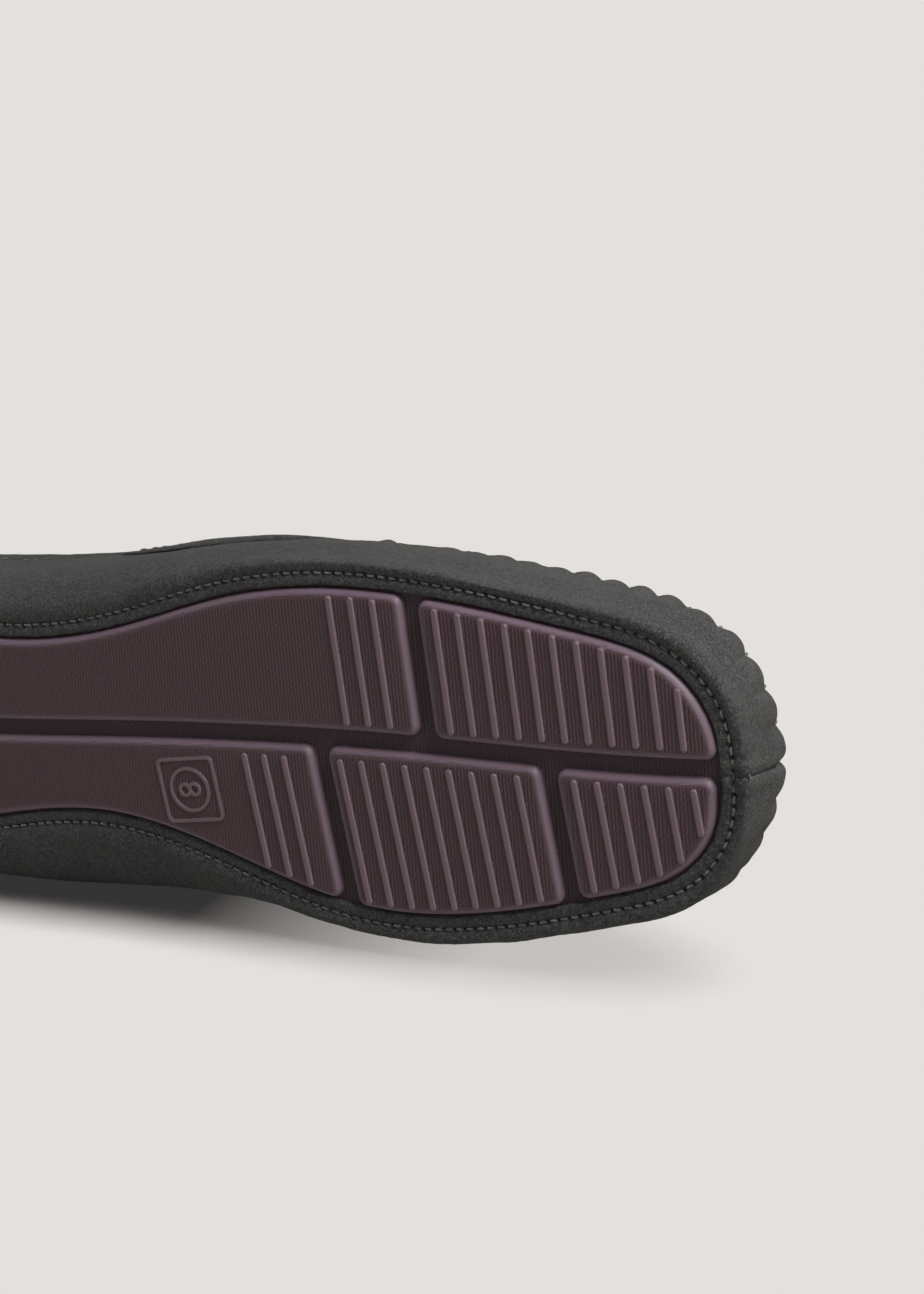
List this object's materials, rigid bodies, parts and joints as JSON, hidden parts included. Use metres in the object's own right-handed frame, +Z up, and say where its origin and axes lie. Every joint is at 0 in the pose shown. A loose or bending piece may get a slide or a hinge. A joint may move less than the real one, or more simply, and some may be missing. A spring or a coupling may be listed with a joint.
{
  "type": "moccasin house slipper",
  "caption": "Right-foot suede moccasin house slipper with puckered apron, saddle strap, plush lining and a moulded rubber sole with ribbed pads.",
  "frame": {"origin": "middle of the slipper's plan box, on the plane that its sole ribs rest on", "axes": "+Z up out of the foot opening, toe towards -Y, outer side of the foot towards -X"},
  "size_m": [0.0908, 0.2842, 0.0744],
  "materials": {
    "rubber": "satin",
    "suede": "napped suede",
    "plush": "soft pile",
    "thread": "spun",
    "foam": "matte foam",
    "board": "matte",
    "stiffener": "matte"
  },
  "bodies": {
    "root": {"outsole": "rubber", "midsole_foam": "foam", "insole_board": "board", "footbed_foam": "foam", "insole_sock": "plush", "wrap_lateral": "suede", "wrap_medial": "suede", "apron": "suede", "saddle_strap": "suede", "collar_binding": "suede", "heel_patch": "suede", "heel_counter": "stiffener", "lining_vamp": "plush", "lining_quarters": "plush", "sole_stitches": "thread", "collar_stitches": "thread", "apron_stitches": "thread", "strap_stitches": "thread", "heel_patch_stitches": "thread", "toe_seam_stitches": "thread"}
  },
  "joints": []
}
